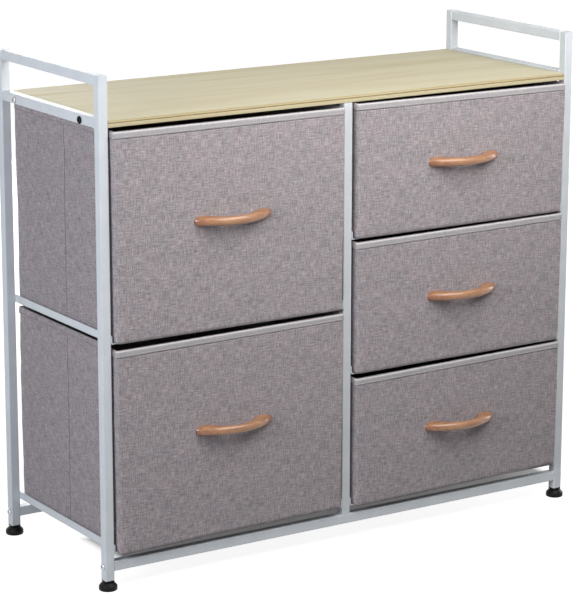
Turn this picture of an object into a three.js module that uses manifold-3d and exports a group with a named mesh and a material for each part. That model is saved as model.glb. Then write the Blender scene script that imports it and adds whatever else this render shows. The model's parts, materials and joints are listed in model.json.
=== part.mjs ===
import * as THREE from "three";
import { mergeVertices } from "three/addons/utils/BufferGeometryUtils.js";
import Module from "manifold-3d";

// Fabric drawer dresser: a square-tube steel frame with two raised end handrails, a wood-look top board
// and five fabric bins that slide on steel angle runners.
// Lengths are in millimetres. X runs to the right, Y to the back and Z up from the floor.

const wasm = await Module();
wasm.setup();

// Frame
const frameWidth = 800;
const frameDepth = 300;
const frameHeight = 721;
const tubeSide = 14;
const tubeWall = 1;
const tubeCorner = 1.5;
const postFloorGap = 14.5;
const postVentRadius = 2.5;
const bottomRailLift = 13;
const handrailRise = 61;

// Top board
const boardThickness = 10;
const boardTopRound = 3;
const boardUnderRound = 1;
const boardEndGap = 0.5;
const endRailProud = 3;

// Runners
const runnerLeg = 12;
const runnerFlange = 16;
const runnerSheet = 1.5;
const runnerBend = 2.5;
const lowestRunnerLift = 12;

// Bins
const binSideClearance = 3;
const tallBinTopClearance = 5;
const tallBinStackGap = 5.5;
const shortBinTopClearance = 2;
const shortBinStackGap = 2.5;
const binFrontReach = 8;
const binRearSetback = 16;
const binTaper = 1;
const binWall = 2.5;
const binFloor = 1.5;
const binCorner = 4;
const bindingHeight = 9.5;
const bindingProud = 0.6;
const seatClearance = 0.3;

// Boards inside the bins
const baseBoardThickness = 3;
const frontBoardThickness = 3;
const frontBoardTopGap = 14;
const innerBoardClearance = 0.8;

// Bow handles
const handleLength = 124.5;
const handleProjection = 25;
const handleFootLength = 31;
const handleFootHeight = 14.5;
const handleGripThickness = 10.5;
const handleGripHeight = 12.5;
const handleTallBinLift = 10;
const handleShortBinLift = 1.5;
const handleArchExponent = 1.56;
const handleFootExponent = 0.75;
const handleGripExponent = 1;

// Levelling feet and the plugs that hold them
const footRadius = 13;
const footHeight = 11.5;
const footEdgeHeight = 6.5;
const footTopRadius = 8.6;
const footChamfer = 1.4;
const footNeckRadius = 6;
const stemRadius = 4;
const stemLength = 16;
const plugFlange = 1.8;
const plugInsert = 16;

// Screws and bolts
const screwHeadRadius = 5.3;
const boltHeadRadius = 4.8;
const headHeight = 2.2;
const headRound = 1;
const screwShankRadius = 2;
const screwBite = 25;
const endScrewInset = 53;
const boltShankRadius = 2.5;
const boltBite = 12;

// Fits, cuts and facets
const clearance = 0.3;
const overrun = 5;
const cornerSteps = 3;
const binCornerSteps = 4;
const roundSteps = 24;
const screwSteps = 12;
const handleSteps = 18;
const handleSides = 12;

// Places worked out from the sizes above
const halfWidth = frameWidth / 2;
const halfDepth = frameDepth / 2;
const halfTube = tubeSide / 2;
const tubeInside = tubeSide - 2 * tubeWall;
const tubeInsideCorner = Math.max(tubeCorner - tubeWall, clearance);
const postHeight = frameHeight - postFloorGap;
const railLength = frameWidth - 2 * tubeSide;
const sideRailLength = frameDepth - 2 * tubeSide;
const bottomRailUnderside = postFloorGap + bottomRailLift;
const bottomRailTop = bottomRailUnderside + tubeSide;
const bottomRailMiddle = bottomRailUnderside + halfTube;
const boardTop = frameHeight - handrailRise;
const boardUnderside = boardTop - boardThickness;
const boardMiddle = boardTop - boardThickness / 2;
const endRailMiddle = boardTop + endRailProud - halfTube;
const bayWidth = (railLength - tubeSide) / 2;
const bayMiddle = halfTube + bayWidth / 2;
const lowestSeat = bottomRailTop + lowestRunnerLift + runnerSheet;
const binFront = -halfDepth - binFrontReach;
const binRear = halfDepth - binRearSetback;
const handleBase = binFront - clearance;

// The origin is under the middle of the whole outline, which reaches from the handles to the rear feet.
const frontReach = handleProjection - handleBase;
const rearReach = halfDepth - halfTube + footRadius;
const depthShift = (frontReach - rearReach) / 2;

// Materials
const finish = (color, roughness, metalness) =>
  new THREE.MeshStandardMaterial({ color, roughness, metalness });
const whiteSteel = finish(0xd9dce2, 0.45, 0.1);
const boltSteel = finish(0xb4b6b8, 0.35, 0.9);
const blackPlastic = finish(0x17181a, 0.5, 0);
const boardWood = finish(0xd6cbab, 0.5, 0);
const linen = finish(0x9a9092, 0.95, 0);
const innerBoard = finish(0x4a4848, 0.9, 0);
const handleWood = finish(0xcf9a5e, 0.35, 0);

// Solid joining and cutting

function toManifold(geometry) {
  const plain = geometry.clone();
  plain.deleteAttribute("normal");
  plain.deleteAttribute("uv");
  const merged = mergeVertices(plain);
  const vertProperties = merged.attributes.position.array;
  const triVerts = new Uint32Array(merged.index.array);
  return new wasm.Manifold(new wasm.Mesh({ numProp: 3, vertProperties, triVerts }));
}

function toGeometry(manifold) {
  const mesh = manifold.getMesh();
  const geometry = new THREE.BufferGeometry();
  geometry.setAttribute("position", new THREE.BufferAttribute(mesh.vertProperties, mesh.numProp));
  geometry.setIndex(new THREE.BufferAttribute(mesh.triVerts, 1));
  geometry.computeVertexNormals();
  return geometry;
}

const cut = (geometry, ...tools) =>
  toGeometry(tools.reduce((body, tool) => body.subtract(toManifold(tool)), toManifold(geometry)));

const join = (geometry, ...others) =>
  toGeometry(others.reduce((body, other) => body.add(toManifold(other)), toManifold(geometry)));

// Outlines

function roundedRectangle(left, right, low, high, radius) {
  const shape = new THREE.Shape();
  shape.moveTo(left + radius, low);
  shape.lineTo(right - radius, low);
  shape.absarc(right - radius, low + radius, radius, -Math.PI / 2, 0, false);
  shape.lineTo(right, high - radius);
  shape.absarc(right - radius, high - radius, radius, 0, Math.PI / 2, false);
  shape.lineTo(left + radius, high);
  shape.absarc(left + radius, high - radius, radius, Math.PI / 2, Math.PI, false);
  shape.lineTo(left, low + radius);
  shape.absarc(left + radius, low + radius, radius, Math.PI, 1.5 * Math.PI, false);
  return shape;
}

const roundedSquare = (side, radius) => roundedRectangle(-side / 2, side / 2, -side / 2, side / 2, radius);

const extrude = (shape, depth) =>
  new THREE.ExtrudeGeometry(shape, { depth, bevelEnabled: false, curveSegments: cornerSteps });

// A closed skin through rings of points that all have the same number of points, capped at both ends
function loft(rings) {
  const count = rings[0].length;
  const points = rings.flat();
  const faces = [];
  for (let ring = 0; ring + 1 < rings.length; ring++) {
    for (let side = 0; side < count; side++) {
      const next = (side + 1) % count;
      const a = ring * count + side;
      const b = ring * count + next;
      faces.push(a, b, b + count, a, b + count, a + count);
    }
  }
  const last = points.length - count;
  for (let side = 1; side + 1 < count; side++) {
    faces.push(0, side + 1, side);
    faces.push(last, last + side, last + side + 1);
  }
  const geometry = new THREE.BufferGeometry().setFromPoints(points);
  geometry.setIndex(faces);
  geometry.computeVertexNormals();
  return geometry;
}

// Square tube along local Z, from zero to its length
function squareTube(length) {
  const shape = roundedSquare(tubeSide, tubeCorner);
  shape.holes.push(roundedSquare(tubeInside, tubeInsideCorner));
  return extrude(shape, length);
}

// Round cutters through the middle of their own length: one along X, one along Z
const drill = (radius, length, steps) => new THREE.CylinderGeometry(radius, radius, length, steps);
const drillAcross = (radius, length) => drill(radius, length, screwSteps).rotateZ(Math.PI / 2);
const drillUp = (radius, length) => drill(radius, length, roundSteps).rotateX(Math.PI / 2);

// The part's own tree of pieces
const dresser = new THREE.Group();
dresser.position.y = depthShift;

function place(name, geometry, material, x, y, z) {
  const mesh = new THREE.Mesh(geometry, material);
  mesh.name = name;
  mesh.position.set(x, y, z);
  dresser.add(mesh);
  return mesh;
}

// Corner post: closed at the top but for a small vent, open at the foot, and drilled for a rail bolt
function cornerPost() {
  const body = extrude(roundedSquare(tubeSide, tubeCorner), postHeight);
  const bore = extrude(roundedSquare(tubeInside, tubeInsideCorner), postHeight - tubeWall + overrun);
  bore.translate(0, 0, -overrun);
  const vent = drillUp(postVentRadius, 2 * (tubeWall + overrun)).translate(0, 0, postHeight);
  const boltHole = drillAcross(boltShankRadius + clearance, tubeSide + 2 * overrun);
  boltHole.translate(0, 0, bottomRailLift + halfTube);
  return cut(body, bore, vent, boltHole);
}

// Pan-head fastener along +X, with the underside of its head at zero
function panHead(headRadius, shankRadius, shankLength) {
  const outline = new THREE.Path();
  outline.moveTo(0, -shankLength);
  outline.lineTo(shankRadius, -shankLength);
  outline.lineTo(shankRadius, 0);
  outline.lineTo(headRadius, 0);
  outline.lineTo(headRadius, headHeight - headRound);
  outline.lineTo(headRadius - headRound, headHeight);
  outline.lineTo(0, headHeight);
  return new THREE.LatheGeometry(outline.getPoints(), screwSteps).rotateZ(-Math.PI / 2);
}

// Plug for a post end: a square insert and a flange, bored for the foot's stem
function footPlug() {
  const insert = roundedSquare(tubeInside - 2 * clearance, tubeInsideCorner);
  const flange = roundedSquare(tubeSide, tubeCorner);
  const body = join(
    extrude(insert, plugInsert + plugFlange).translate(0, 0, -plugFlange),
    extrude(flange, plugFlange).translate(0, 0, -plugFlange),
  );
  const bore = drillUp(stemRadius + clearance, plugInsert + plugFlange + 2 * overrun);
  return cut(body, bore.translate(0, 0, (plugInsert - plugFlange) / 2));
}

// Levelling foot: a broad pad with a sloping shoulder, a neck and a stem that goes up into the plug
function levellingFoot() {
  const neckTop = postFloorGap - plugFlange - clearance;
  const outline = new THREE.Path();
  outline.moveTo(0, 0);
  outline.lineTo(footRadius - footChamfer, 0);
  outline.lineTo(footRadius, footChamfer);
  outline.lineTo(footRadius, footEdgeHeight);
  outline.lineTo(footTopRadius, footHeight);
  outline.lineTo(footNeckRadius, footHeight);
  outline.lineTo(footNeckRadius, neckTop);
  outline.lineTo(stemRadius, neckTop);
  outline.lineTo(stemRadius, neckTop + stemLength);
  outline.lineTo(0, neckTop + stemLength);
  return new THREE.LatheGeometry(outline.getPoints(), roundSteps).rotateX(Math.PI / 2);
}

// Posts, feet, plugs, rails and fasteners at the two ends
const railBoltReach = tubeSide + boltBite;
const boardScrewReach = tubeSide + boardEndGap + screwBite;
const boardScrewRow = halfDepth - endScrewInset;
for (const [side, end] of [[-1, "left"], [1, "right"]]) {
  const postX = side * (halfWidth - halfTube);
  const headX = side * (halfWidth + clearance);
  const headTurn = side < 0 ? Math.PI : 0;
  for (const [face, row] of [[-1, "front"], [1, "rear"]]) {
    const postY = face * (halfDepth - halfTube);
    const corner = `${row}_${end}`;
    place(`post_${corner}`, cornerPost(), whiteSteel, postX, postY, postFloorGap);
    place(`foot_plug_${corner}`, footPlug(), blackPlastic, postX, postY, postFloorGap);
    place(`foot_${corner}`, levellingFoot(), blackPlastic, postX, postY, 0);
    const bolt = panHead(boltHeadRadius, boltShankRadius, railBoltReach);
    place(`rail_bolt_${corner}`, bolt, boltSteel, headX, postY, bottomRailMiddle).rotation.z = headTurn;
    const screw = panHead(screwHeadRadius, screwShankRadius, boardScrewReach);
    const screwFinish = face < 0 ? blackPlastic : boltSteel;
    const screwY = face * boardScrewRow;
    place(`board_screw_${corner}`, screw, screwFinish, headX, screwY, boardMiddle).rotation.z = headTurn;
  }
  const handrail = squareTube(sideRailLength);
  const handrailZ = frameHeight - halfTube;
  const railRear = sideRailLength / 2;
  place(`handrail_${end}`, handrail, whiteSteel, postX, railRear, handrailZ).rotation.x = Math.PI / 2;
  const drillHeight = boardMiddle - endRailMiddle;
  const drills = [-1, 1].map((face) =>
    drillAcross(screwShankRadius + clearance, tubeSide + 2 * overrun).translate(
      0,
      drillHeight,
      railRear + face * boardScrewRow,
    ),
  );
  const endRail = cut(squareTube(sideRailLength), ...drills);
  place(`end_rail_${end}`, endRail, whiteSteel, postX, railRear, endRailMiddle).rotation.x = Math.PI / 2;
}

// Bottom rails and centre posts
for (const [face, row] of [[-1, "front"], [1, "rear"]]) {
  const railY = face * (halfDepth - halfTube);
  const rail = squareTube(railLength);
  const railLeft = -railLength / 2;
  place(`bottom_rail_${row}`, rail, whiteSteel, railLeft, railY, bottomRailMiddle).rotation.y = Math.PI / 2;
  const centrePost = squareTube(boardUnderside - bottomRailTop);
  place(`centre_post_${row}`, centrePost, whiteSteel, 0, railY, bottomRailTop);
}

// Top board: rounded along its front and rear edges, with a blind hole for each end screw
function topBoard() {
  const length = railLength - 2 * boardEndGap;
  const low = boardUnderRound;
  const high = boardThickness - boardTopRound;
  const lowEdge = halfDepth - boardUnderRound;
  const highEdge = halfDepth - boardTopRound;
  const outline = new THREE.Shape();
  outline.moveTo(-halfDepth, low);
  outline.absarc(-lowEdge, low, boardUnderRound, Math.PI, 1.5 * Math.PI, false);
  outline.lineTo(lowEdge, 0);
  outline.absarc(lowEdge, low, boardUnderRound, -Math.PI / 2, 0, false);
  outline.lineTo(halfDepth, high);
  outline.absarc(highEdge, high, boardTopRound, 0, Math.PI / 2, false);
  outline.lineTo(-highEdge, boardThickness);
  outline.absarc(-highEdge, high, boardTopRound, Math.PI / 2, Math.PI, false);
  const body = extrude(outline, length).rotateX(Math.PI / 2).rotateZ(Math.PI / 2);
  body.translate(-length / 2, 0, 0);
  const drills = [-1, 1].flatMap((side) =>
    [-1, 1].map((face) =>
      drillAcross(screwShankRadius + clearance, 2 * (screwBite + 2 * clearance)).translate(
        (side * length) / 2,
        face * boardScrewRow,
        boardThickness / 2,
      ),
    ),
  );
  return cut(body, ...drills);
}
place("top_board", topBoard(), boardWood, 0, 0, boardUnderside);

// Runner: a bent angle along Y. Its leg stands against the posts and its flange points into the bay.
function runner(inward) {
  const inner = runnerBend - runnerSheet;
  const outline = new THREE.Shape();
  outline.moveTo(runnerFlange, 0);
  outline.lineTo(runnerFlange, runnerSheet);
  outline.lineTo(runnerBend, runnerSheet);
  outline.absarc(runnerBend, runnerBend, inner, 1.5 * Math.PI, Math.PI, true);
  outline.lineTo(runnerSheet, runnerLeg);
  outline.lineTo(0, runnerLeg);
  outline.lineTo(0, runnerBend);
  outline.absarc(runnerBend, runnerBend, runnerBend, Math.PI, 1.5 * Math.PI, false);
  const body = extrude(outline, frameDepth).rotateX(Math.PI / 2).translate(0, halfDepth, 0);
  return inward > 0 ? body : body.rotateZ(Math.PI);
}

// Half of a bin's width at height z, without its binding
const binHalf = (height, z) => bayWidth / 2 - binSideClearance - bindingProud - binTaper * (1 - z / height);

// Ring of points round a bin at one height: offset grows the ring on every side
function binRing(height, z, offset) {
  const half = binHalf(height, z) + offset;
  const radius = Math.max(binCorner + offset, clearance);
  const outline = roundedRectangle(-half, half, binFront - offset, binRear + offset, radius);
  const corners = outline.getPoints(binCornerSteps);
  corners.pop();
  return corners.map((point) => new THREE.Vector3(point.x, point.y, z));
}

// Fabric bin: tapered box with round upright corners, an open top and a proud binding round the rim
function fabricBin(height) {
  const bindingFoot = height - bindingHeight;
  return loft([
    binRing(height, 0, 0),
    binRing(height, bindingFoot, 0),
    binRing(height, bindingFoot, bindingProud),
    binRing(height, height, bindingProud),
    binRing(height, height, -binWall),
    binRing(height, binFloor, -binWall),
  ]);
}

// Front board: stands behind the front cloth, on the bin's floor
const frontBoardFace = binFront + binWall + clearance;
function frontBoard(height) {
  const low = binFloor + clearance;
  const high = height - frontBoardTopGap;
  const halfLow = binHalf(height, low) - binCorner - innerBoardClearance;
  const halfHigh = binHalf(height, high) - binCorner - innerBoardClearance;
  const outline = new THREE.Shape();
  outline.moveTo(-halfLow, low);
  outline.lineTo(halfLow, low);
  outline.lineTo(halfHigh, high);
  outline.lineTo(-halfHigh, high);
  return extrude(outline, frontBoardThickness)
    .rotateX(Math.PI / 2)
    .translate(0, frontBoardFace + frontBoardThickness, 0);
}

// Base board: lies on the bin's floor behind the front board
function baseBoard(height) {
  const half = binHalf(height, binFloor) - binWall - innerBoardClearance;
  const front = frontBoardFace + frontBoardThickness + clearance;
  const rear = binRear - binWall - innerBoardClearance;
  return extrude(roundedRectangle(-half, half, front, rear, binCorner - binWall), baseBoardThickness);
}

// Bow handle: each section is an oval between an outer bow and an inner bow, squarer towards the feet. The
// sections turn with the bows, so the two ends come down flat on the bin's front.
const bow = (angle, halfSpan, rise) =>
  new THREE.Vector3(halfSpan * Math.cos(angle), -rise * Math.sin(angle) ** handleArchExponent, 0);

const signedPower = (value, exponent) => Math.sign(value) * Math.abs(value) ** exponent;

function bowHandle() {
  const rings = [];
  for (let step = 0; step <= handleSteps; step++) {
    const angle = (Math.PI * step) / handleSteps;
    const outer = bow(angle, handleLength / 2, handleProjection);
    const inner = bow(angle, handleLength / 2 - handleFootLength, handleProjection - handleGripThickness);
    const middle = outer.clone().add(inner).divideScalar(2);
    const reach = outer.clone().sub(middle);
    const halfHeight = THREE.MathUtils.lerp(handleFootHeight, handleGripHeight, Math.sin(angle)) / 2;
    const exponent = THREE.MathUtils.lerp(handleFootExponent, handleGripExponent, Math.sin(angle));
    const ring = [];
    for (let side = 0; side < handleSides; side++) {
      const turn = (2 * Math.PI * side) / handleSides;
      const point = middle.clone().addScaledVector(reach, signedPower(Math.cos(turn), exponent));
      point.z = halfHeight * signedPower(Math.sin(turn), exponent);
      ring.push(point);
    }
    rings.push(ring);
  }
  return loft(rings);
}

// Bays: runners and bins, from the lowest up
const bays = [
  {
    name: "left",
    middle: -bayMiddle,
    rows: ["bottom", "top"],
    topClearance: tallBinTopClearance,
    stackGap: tallBinStackGap,
    handleLift: handleTallBinLift,
  },
  {
    name: "right",
    middle: bayMiddle,
    rows: ["bottom", "middle", "top"],
    topClearance: shortBinTopClearance,
    stackGap: shortBinStackGap,
    handleLift: handleShortBinLift,
  },
];
for (const bay of bays) {
  const count = bay.rows.length;
  const stackHeight = boardUnderside - bay.topClearance - lowestSeat;
  const pitchGap = bay.stackGap + runnerSheet;
  const binHeight = (stackHeight - (count - 1) * pitchGap) / count;
  bay.rows.forEach((row, index) => {
    const seat = lowestSeat + index * (binHeight + pitchGap);
    const title = `${bay.name}_${row}`;
    for (const [side, hand] of [[-1, "l"], [1, "r"]]) {
      const runnerX = bay.middle + (side * bayWidth) / 2;
      place(`runner_${title}_${hand}`, runner(-side), whiteSteel, runnerX, 0, seat - runnerSheet);
    }
    const drawer = new THREE.Group();
    drawer.position.set(bay.middle, 0, seat + seatClearance);
    dresser.add(drawer);
    const height = binHeight - seatClearance;
    const boardZ = binFloor + clearance;
    const handleZ = height / 2 + bay.handleLift;
    drawer.add(place(`bin_${title}`, fabricBin(height), linen, 0, 0, 0));
    drawer.add(place(`front_board_${title}`, frontBoard(height), innerBoard, 0, 0, 0));
    drawer.add(place(`base_board_${title}`, baseBoard(height), innerBoard, 0, 0, boardZ));
    drawer.add(place(`handle_${title}`, bowHandle(), handleWood, 0, handleBase, handleZ));
  });
}

export default dresser;
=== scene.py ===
import json
import math

import bpy
from mathutils import Matrix, Vector, noise


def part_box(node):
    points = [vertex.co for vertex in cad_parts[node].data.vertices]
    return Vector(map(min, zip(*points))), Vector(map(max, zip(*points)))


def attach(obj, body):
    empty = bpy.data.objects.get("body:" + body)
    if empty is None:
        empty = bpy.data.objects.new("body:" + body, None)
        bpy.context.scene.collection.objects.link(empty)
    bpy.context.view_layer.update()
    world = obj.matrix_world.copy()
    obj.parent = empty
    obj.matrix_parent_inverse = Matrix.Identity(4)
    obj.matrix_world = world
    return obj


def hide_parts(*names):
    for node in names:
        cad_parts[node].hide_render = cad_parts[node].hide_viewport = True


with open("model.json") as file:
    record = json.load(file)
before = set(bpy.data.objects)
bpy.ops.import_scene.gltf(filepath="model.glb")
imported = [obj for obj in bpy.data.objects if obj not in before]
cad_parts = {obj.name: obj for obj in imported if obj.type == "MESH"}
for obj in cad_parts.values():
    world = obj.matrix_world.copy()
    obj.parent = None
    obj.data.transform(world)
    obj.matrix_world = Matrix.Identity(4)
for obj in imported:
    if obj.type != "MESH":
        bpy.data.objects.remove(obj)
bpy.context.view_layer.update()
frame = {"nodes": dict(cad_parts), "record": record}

# Fabric drawer dresser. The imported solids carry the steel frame; this script dresses them. All lengths are
# in metres, X to the right, Y to the back, Z up.

nodes = frame["nodes"]

# Fabric bins
BIN_CORNER = 0.004
BIN_FOOT_CORNER = 0.0072
CORNER_FADE = 0.85
BIN_WALL = 0.0025
BIN_FLOOR = 0.0015
HEM_ROUND = 0.0016
CLOTH_STEP = 0.0055
INNER_STEP = 0.011
TOP_ROW_DROP = 0.0035
CORNER_STEPS = 6
FLOOR_SHARES = [0.02, 0.12, 0.3, 0.5, 0.7, 0.86, 0.95, 0.975, 0.99, 1.0]
FLOOR_SAG = 0.0012
SAG_INSET = 0.012
SAG_FULLNESS = 0.6
SAG_FADE = 0.02
SIDE_CREASE = 0.0012
CREASE_GROOVE = 0.0008
CREASE_WIDTH = 0.003
RIM_FADE = 0.05
HEM_HANG = 0.0075
HEM_TUCK = 0.0028
HEM_RISE = 0.11

# Unevenness of the cloth: heights in metres, how many waves to a metre, and how far each one reaches
FRONT_WAVE = 0.00045
SOFT_WAVE = 0.0010
WAVES = 9
SMALL_WAVE = 0.00025
SMALL_WAVES_ALONG = 26
SMALL_WAVES_UP = 30
CORNER_SWELL = 0.0004
PUCKER = 0.0006
PUCKERS = 45
PUCKER_REACH = 0.012
GATHER = 0.0003
GATHERS = 60
GATHER_REACH = 0.02
FOOT_FADE = 0.012
TOP_FADE = 0.014

# Which way a wall's outward normal points: to the front, round to the front's ends, or squarely to a side
FRONT_NORMAL = -0.5
FRONT_END_NORMAL = -0.05
SIDE_NORMAL = 0.999

# Binding round the rims, its stitches and the seam under it
BINDING_HEIGHT = 0.0095
BINDING_SHEET = 0.0007
BINDING_PROUD = 0.0006
TAPE_TUCK = 0.0001
TAPE_ROLL = 0.0002
TAPE_SWELL = 0.0003
TAPE_SETTLE = 0.0003
TAPE_WANDER = 0.00012
TAPE_HEM_WANDER = 0.0004
TAPE_WANDERS = 30
TAPE_CREST = 0.0005
TAPE_CRESTS = 12
CROWN_STEPS = 8
CROWN_RISE = 0.8
STITCH_PITCH = 0.005
STITCH_LENGTH = 0.0037
STITCH_RADIUS = 0.00065
STITCH_LIFT = 0.0018
STITCH_PROUD = 0.0001
STITCH_SIDES = 6
STITCH_RINGS = [(-0.5, 0.35), (-0.3, 0.9), (0.0, 1.0), (0.3, 0.9), (0.5, 0.35)]
SEAM_DROP = 0.0005
SEAM_GROOVE = 0.0012
SEAM_WIDTH = 0.0010
SEAM_RADIUS = 0.0006
SEAM_ROWS = 6
UPRIGHT_SEAM_RADIUS = 0.0004

# Bow handles
HANDLE_FOOT = 0.031
HANDLE_GRIP = 0.0105
HANDLE_GRIP_HEIGHT = 0.0125
HANDLE_ARCH = 1.56
HANDLE_FOOT_FULLNESS = 0.75
HANDLE_STEPS = 96
HANDLE_SIDES = 40
HANDLE_SCREW_RADIUS = 0.004
HANDLE_SCREW_HEIGHT = 0.0022
HANDLE_SCREW_SOCKET = 0.45
HANDLE_CREASE = 50
WASHER_RADIUS = 0.0062
WASHER_SHEET = 0.0008
WASHER_EASE = 0.0002
WASHER_BORE = 0.6

# Top board
BOARD_TOP_ROUND = 0.003
BOARD_UNDER_ROUND = 0.001
BOARD_GROOVE_DROP = 0.0039
BOARD_GROOVE_HALF = 0.0007
BOARD_GROOVE_DEPTH = 0.0006
BOARD_GROOVE_LIP = 0.0001
BOARD_END_ROUND = 0.0006
BOARD_TOP_STEPS = 10
BOARD_UNDER_STEPS = 3
BOARD_CREASE = 35

# Feet, fastener heads and welds. A foot's profile runs upward: (radius, height).
FOOT_PROFILE = [
    (0.0112, 0.0), (0.0122, 0.0003), (0.0128, 0.0009), (0.0130, 0.0017), (0.0130, 0.0058),
    (0.0129, 0.0064), (0.0124, 0.0071), (0.0092, 0.0108), (0.0086, 0.0113), (0.0079, 0.0115),
    (0.0064, 0.0115), (0.0060, 0.0117), (0.0060, 0.0122), (0.0040, 0.0124), (0.0040, 0.0284),
]
HEAD_HEIGHT = 0.0022
HEAD_SOCKET = 0.48
HEAD_STEPS = 48
HEAD_CREASE = 40
WELD_RADIUS = 0.0012
WELD_UNEVENNESS = 0.14
WELD_RIPPLES = 900
WELD_STEPS = 96
WELD_SIDES = 8
TUBE_CORNER = 0.0015

# Rings of a fastener head. Its skirt: (share of the radius, share of the height). Its dome rises from the
# skirt in equal turns to a flat crown. Its socket: (share of its radius, share of the height, corners).
SKIRT = [(0.98, 0.0), (1.0, 0.12), (1.0, 0.35)]
DOME_STEPS = 5
DOME_TURN = 16
DOME_FOOT = 0.35
DOME_FLAT = 0.62
SOCKET = [(1.12, 1.0, 0), (1.02, 1.0, 6), (1.0, 0.93, 6), (1.0, 0.3, 6), (0.5, 0.26, 0)]

# How far each bin's front rim stands off the height of its imported solid, at its left and right ends, and how
# far its front hem stands off its seat, as (share of the width from the left, height).
RIM_OFFSETS = {
    "left_top": (0.0007, 0.0007),
    "left_bottom": (-0.0026, 0.0012),
    "right_top": (0.0006, -0.0014),
    "right_middle": (-0.0006, 0.0015),
    "right_bottom": (-0.0032, 0.0018),
}
HEM_OFFSETS = {
    "left_top": [(0.0, -0.0012), (0.5, -0.0012), (1.0, -0.0012)],
    "left_bottom": [(0.0, -0.0055), (0.06, -0.0044), (0.5, -0.0008), (1.0, 0.0006)],
    "right_top": [(0.0, 0.0003), (0.5, 0.0), (1.0, -0.0002)],
    "right_middle": [(0.0, -0.0008), (0.5, 0.0005), (1.0, 0.0025)],
    "right_bottom": [(0.0, -0.0026), (0.25, -0.0018), (0.5, -0.0002), (0.8, 0.0028), (1.0, 0.0045)],
}

# The camera, from a fit to some sixty edges of the photograph, 573 by 599 pixels. The lens has no shift, so
# that the object stays in the middle of every other view.
PICTURE_SIDE = 599
FOCAL_PIXELS = 2629.268
EYE = Vector((-2.0486263, -3.1857322, 1.2600886))
YAW = -0.5698
PITCH = -0.2398
ROLL = 0.0012
SENSOR = 36.0
CLIP_END = 100

# Light and floor. The floor glows so that it looks white, a little more so far off, and its glow is dimmed in
# a strip under the object as a painted shadow. A lamp is (name, place, target, size, power, colour).
LAMPS = [
    ("front", (0.14, -0.8, 1.36), (0.02, 0, 1.02), 1.0, 16.6, (1.01, 1.0, 0.99)),
    ("left", (-2.0, -0.7, 1.0), (-0.3, 0, 0.65), 0.8, 25, (0.94, 0.98, 1.05)),
    ("right", (2.6, 0.3, 0.7), (0.3, 0, 0.4), 1.2, 26, (1, 1, 1)),
    ("rear", (0.3, 2.8, 0.75), (0, 0, 0.4), 1.6, 42, (1, 1, 1)),
]
WHITE = (1, 1, 1, 1)
FLOOR_REACH = 30.0
WORLD_LIGHT = 0.08
FLOOR_GLOW = 0.9
FAR_GLOW = 0.1
FAR_FROM = 0.6
FAR_TO = 1.6
# The painted shadow under the object: its low glow, its middle and half widths, and its soft edge.
PAINTED_SHADOW_GLOW = 0.12
PAINTED_SHADOW_MIDDLE_X = 0.07
PAINTED_SHADOW_HALF_X = 0.37
PAINTED_SHADOW_MIDDLE_Y = 0.01
PAINTED_SHADOW_HALF_Y = 0.05
PAINTED_SHADOW_EDGE = 0.03


# Mesh helpers

def add_object(name, data):
    made = bpy.data.objects.new(name, data)
    bpy.context.scene.collection.objects.link(made)
    return made


def mesh_piece(name, points, faces, materials, body, uvs=None, indices=None):
    """A new object that rides on a body. uvs holds one pair for each corner of each face, in order."""
    mesh = bpy.data.meshes.new(name)
    mesh.from_pydata([tuple(point) for point in points], [], faces)
    mesh.polygons.foreach_set("use_smooth", [True] * len(mesh.polygons))
    if uvs:
        layer = mesh.uv_layers.new(name="cloth")
        layer.data.foreach_set("uv", [value for pair in uvs for value in pair])
    for material in materials:
        mesh.materials.append(material)
    if indices:
        mesh.polygons.foreach_set("material_index", indices)
    mesh.validate()
    mesh.update()
    piece = add_object(name, mesh)
    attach(piece, body)
    return piece


def grid_faces(rows, columns, first=0):
    """Quads between closed rows of points, each row holding the same number of columns."""
    faces = []
    for row in range(rows - 1):
        for column in range(columns):
            following = (column + 1) % columns
            low = first + row * columns
            high = low + columns
            faces.append((low + column, low + following, high + following, high + column))
    return faces


def capped_faces(rows, columns, first=0):
    """The quads of grid_faces with a flat cap on the first row and on the last."""
    faces = grid_faces(rows, columns, first)
    faces.append(tuple(first + column for column in reversed(range(columns))))
    last = first + (rows - 1) * columns
    faces.append(tuple(last + column for column in range(columns)))
    return faces


def full_turn(count):
    """Equal steps round a circle, as angles."""
    return [2 * math.pi * step / count for step in range(count)]


def sharpen(piece, degrees):
    """Keeps edges crisp where faces meet at more than an angle."""
    piece.data.set_sharp_from_angle(angle=math.radians(degrees))


def smoothstep(value):
    value = min(1.0, max(0.0, value))
    return value * value * (3 - 2 * value)


def between(stops, share):
    """Smooth value at a share, from stops of (share, value)."""
    for (low, first), (high, second) in zip(stops, stops[1:]):
        if share <= high:
            return first + (second - first) * smoothstep((share - low) / (high - low))
    return stops[-1][1]


# Node helpers for the materials

def linear(red, green, blue):
    """A colour written as the eye reads it, 0 to 255, as the linear value that a shader takes."""
    channels = []
    for value in (red, green, blue):
        share = value / 255
        channels.append(share / 12.92 if share <= 0.04045 else ((share + 0.055) / 1.055) ** 2.4)
    return (*channels, 1.0)


def feed(tree, node, values):
    """Gives a node's sockets their values: outputs are linked, and anything else is set."""
    for socket, value in values.items():
        if isinstance(value, bpy.types.NodeSocket):
            tree.links.new(value, node.inputs[socket])
        else:
            node.inputs[socket].default_value = value


def new_material(name, recipe, *details):
    """A material whose shader's sockets take what a recipe makes for them in the node tree."""
    material = bpy.data.materials.new(name)
    material.use_nodes = True
    tree = material.node_tree
    feed(tree, tree.nodes["Principled BSDF"], recipe(tree, *details))
    return material


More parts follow.
